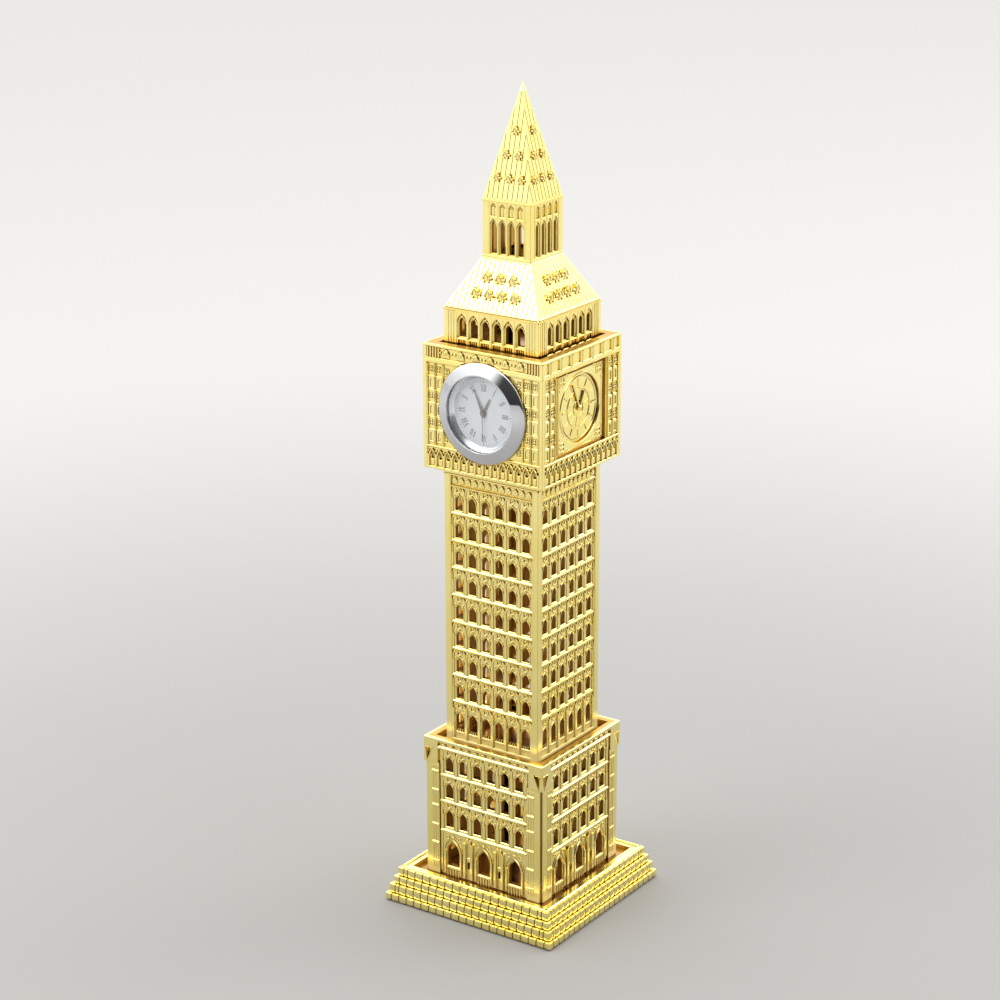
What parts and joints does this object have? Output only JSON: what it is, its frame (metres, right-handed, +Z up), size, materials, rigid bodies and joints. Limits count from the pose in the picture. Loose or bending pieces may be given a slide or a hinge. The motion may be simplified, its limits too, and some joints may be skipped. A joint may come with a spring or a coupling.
{
  "type": "miniature clock tower souvenir",
  "caption": "Gilt cast-metal miniature clock tower on a stone-coursed plinth, with a small pull-out quartz clock insert in its front face.",
  "frame": {"origin": "centre of the footprint, on the surface the tower stands on", "axes": "+Z up the tower to the tip of the spire, -Y out of the face that carries the clock insert, +X to the right seen from the front"},
  "size_m": [0.0544, 0.0544, 0.225],
  "materials": {
    "gilt_metal": "polished gold plating over a zinc casting",
    "felt": "dense black felt",
    "plate_steel": "plain",
    "screw_steel": "zinc plated",
    "chrome": "mirror polished",
    "glass": "clear mineral glass",
    "dial_white": "satin white",
    "case_steel": "satin",
    "gasket": "matt black",
    "movement_brass": "satin",
    "coil_wire": "enamelled copper winding",
    "board_green": "laminate",
    "hand_dark": "satin dark grey"
  },
  "bodies": {
    "tower": {"plinth_casting": "gilt_metal", "base_plate": "plate_steel", "felt_pad": "felt", "base_screws": "screw_steel", "lower_wall_front": "gilt_metal", "lower_wall_right": "gilt_metal", "lower_wall_back": "gilt_metal", "lower_wall_left": "gilt_metal", "lower_deck": "gilt_metal", "shaft_wall_front": "gilt_metal", "shaft_wall_right": "gilt_metal", "shaft_wall_back": "gilt_metal", "shaft_wall_left": "gilt_metal", "clock_wall_front": "gilt_metal", "clock_wall_right": "gilt_metal", "clock_wall_back": "gilt_metal", "clock_wall_left": "gilt_metal", "clock_soffit": "gilt_metal", "clock_deck": "gilt_metal", "belfry_wall_front": "gilt_metal", "belfry_wall_right": "gilt_metal", "belfry_wall_back": "gilt_metal", "belfry_wall_left": "gilt_metal", "roof_panel_front": "gilt_metal", "roof_panel_right": "gilt_metal", "roof_panel_back": "gilt_metal", "roof_panel_left": "gilt_metal", "lantern_wall_front": "gilt_metal", "lantern_wall_right": "gilt_metal", "lantern_wall_back": "gilt_metal", "lantern_wall_left": "gilt_metal", "spire_panel_front": "gilt_metal", "spire_panel_right": "gilt_metal", "spire_panel_back": "gilt_metal", "spire_panel_left": "gilt_metal", "finial": "gilt_metal"},
    "insert": {"bezel": "chrome", "lens": "glass", "rehaut_ring": "chrome", "dial": "dial_white", "insert_case": "case_steel", "gasket_ring": "gasket", "back_cover": "case_steel", "main_plate": "movement_brass", "train_bridge": "movement_brass", "battery": "case_steel", "stator": "plate_steel", "coil": "coil_wire", "circuit_board": "board_green"},
    "seconds": {"second_hand": "hand_dark", "fourth_wheel": "movement_brass"},
    "minutes": {"minute_hand": "hand_dark", "centre_wheel": "movement_brass"},
    "hours": {"hour_hand": "hand_dark", "hour_wheel": "movement_brass"},
    "third": {"third_wheel": "movement_brass"},
    "fifth": {"fifth_wheel": "movement_brass"},
    "rotor": {"rotor": "movement_brass"},
    "motion": {"minute_wheel": "movement_brass"},
    "crown": {"crown": "chrome"}
  },
  "joints": [
    {"name": "insert_pull", "type": "slide", "parent": "tower", "child": "insert", "axis": [0, -1, 0], "range_m": [0, 0.016]},
    {"name": "second_turn", "type": "hinge", "parent": "insert", "child": "seconds", "pos_m": [0, -0.01868, 0.1421], "axis": [0, 1, 0], "continuous": true},
    {"name": "minute_turn", "type": "hinge", "parent": "insert", "child": "minutes", "pos_m": [0, -0.01868, 0.1421], "axis": [0, 1, 0], "continuous": true},
    {"name": "hour_turn", "type": "hinge", "parent": "insert", "child": "hours", "pos_m": [0, -0.01868, 0.1421], "axis": [0, 1, 0], "continuous": true},
    {"name": "third_wheel_turn", "type": "hinge", "parent": "insert", "child": "third", "pos_m": [-0.00236, -0.01868, 0.14346], "axis": [0, 1, 0], "continuous": true},
    {"name": "fifth_wheel_turn", "type": "hinge", "parent": "insert", "child": "fifth", "pos_m": [0.00243, -0.01868, 0.1407], "axis": [0, 1, 0], "continuous": true},
    {"name": "rotor_turn", "type": "hinge", "parent": "insert", "child": "rotor", "pos_m": [0.00169, -0.01868, 0.13867], "axis": [0, 1, 0], "continuous": true},
    {"name": "motion_wheel_turn", "type": "hinge", "parent": "insert", "child": "motion", "pos_m": [-0.0013, -0.01868, 0.13985], "axis": [0, 1, 0], "continuous": true},
    {"name": "crown_pull", "type": "slide", "parent": "insert", "child": "crown", "axis": [1, 0, 0], "range_m": [0, 0.0008]}
  ],
  "couplings": [
    {"joint": "minute_turn", "follows": "second_turn", "ratio": 0.016667},
    {"joint": "hour_turn", "follows": "second_turn", "ratio": 0.0013889},
    {"joint": "third_wheel_turn", "follows": "second_turn", "ratio": -0.13333},
    {"joint": "fifth_wheel_turn", "follows": "second_turn", "ratio": -6},
    {"joint": "rotor_turn", "follows": "second_turn", "ratio": 30},
    {"joint": "motion_wheel_turn", "follows": "second_turn", "ratio": -0.0055556}
  ]
}
